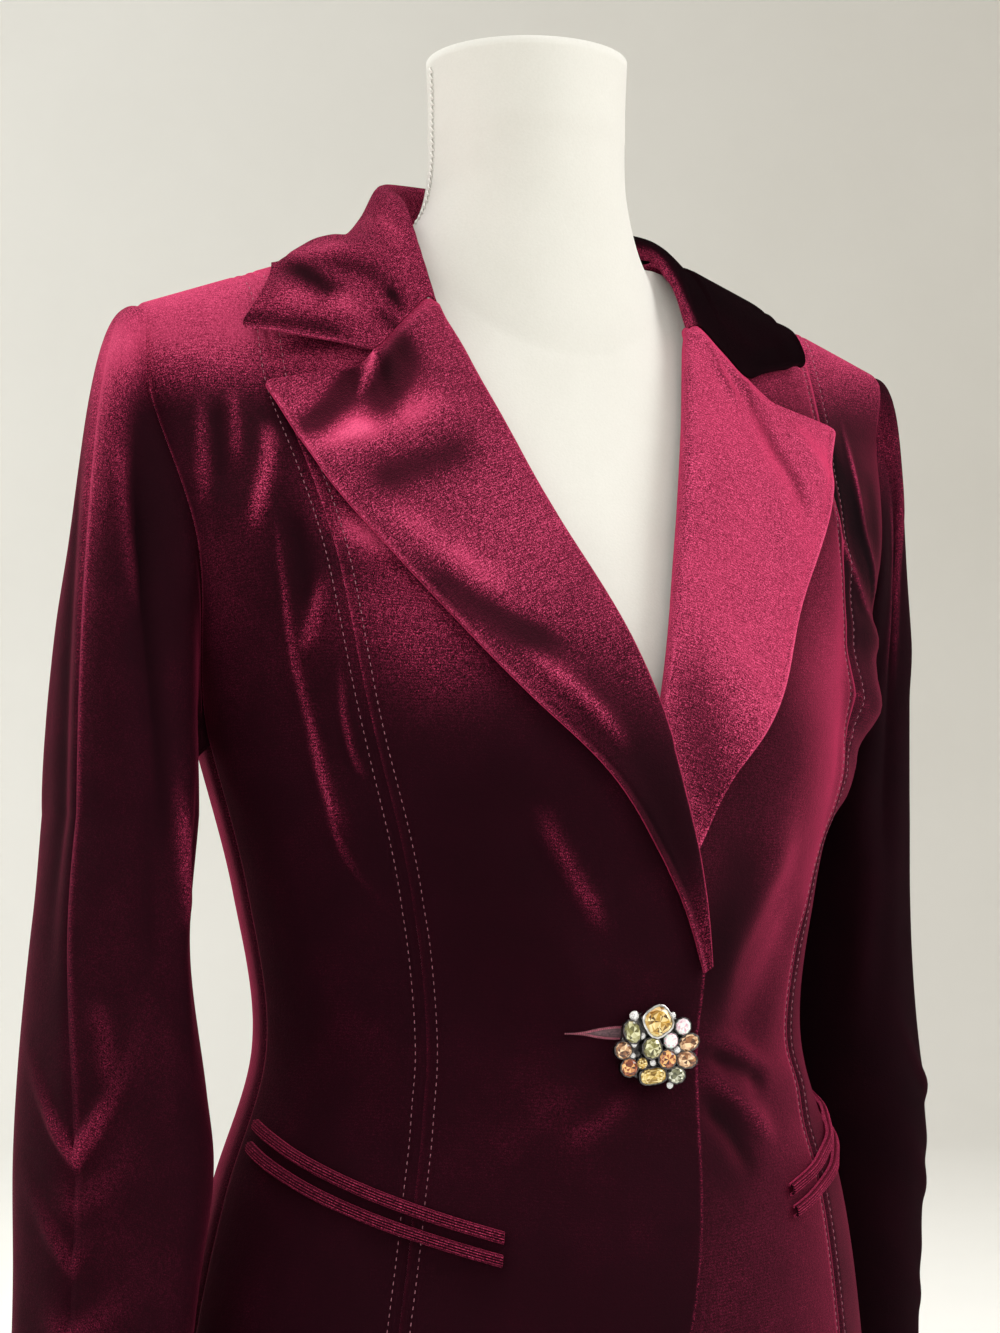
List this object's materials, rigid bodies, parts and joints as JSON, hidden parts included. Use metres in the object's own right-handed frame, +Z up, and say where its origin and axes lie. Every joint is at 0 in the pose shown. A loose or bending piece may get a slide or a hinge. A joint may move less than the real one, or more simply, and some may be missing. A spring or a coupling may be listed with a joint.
{
  "type": "velvet blazer on a dress form",
  "caption": "Fitted velvet blazer with a notched collar, wide lapels, princess seams, slanted welt pockets, gathered sleeves and a jewelled button, on a limbless dress form.",
  "frame": {"origin": "middle of the dress form's flat base", "axes": "+Z up along the form's neck, the blazer's front towards -Y, the wearer's left towards +X"},
  "size_m": [0.4755, 0.2521, 0.772],
  "materials": {
    "velvet": "wine stretch velvet with a bright sheen",
    "welt_velvet": "wine velvet, finely ribbed",
    "jersey": "matt cream jersey",
    "gunmetal": "dark satin metal",
    "gem_gold": "faceted, polished",
    "gem_olive": "faceted, polished",
    "gem_pearl": "faceted, polished, iridescent",
    "gem_peach": "faceted, polished",
    "gem_amber": "faceted, polished",
    "gem_yellow": "faceted, polished",
    "gem_clear": "faceted, polished"
  },
  "bodies": {
    "root": {"dress_form": "jersey", "front_right": "velvet", "front_left": "velvet", "side_front_right": "velvet", "side_front_left": "velvet", "back_right": "velvet", "back_left": "velvet", "lapel_right": "velvet", "lapel_left": "velvet", "collar": "velvet", "sleeve_front_right": "velvet", "sleeve_back_right": "velvet", "sleeve_front_left": "velvet", "sleeve_back_left": "velvet", "pocket_welt_upper_right": "welt_velvet", "pocket_welt_lower_right": "welt_velvet", "pocket_welt_upper_left": "welt_velvet", "pocket_welt_lower_left": "welt_velvet", "button_mount": "gunmetal", "stone_gold_square": "gem_gold", "stone_olive_oval": "gem_olive", "stone_pearl_upper": "gem_pearl", "stone_pearl_inner": "gem_pearl", "stone_olive_round": "gem_olive", "stone_peach_left": "gem_peach", "stone_peach_upper": "gem_peach", "stone_peach_lower": "gem_peach", "stone_amber_round": "gem_amber", "stone_amber_left": "gem_amber", "stone_yellow_small": "gem_yellow", "stone_yellow_long": "gem_yellow", "stone_olive_grey": "gem_olive", "stone_clear_upper": "gem_clear", "stone_clear_right": "gem_clear", "stone_clear_inner": "gem_clear", "stone_clear_middle": "gem_clear", "stone_clear_low": "gem_clear"}
  },
  "joints": []
}
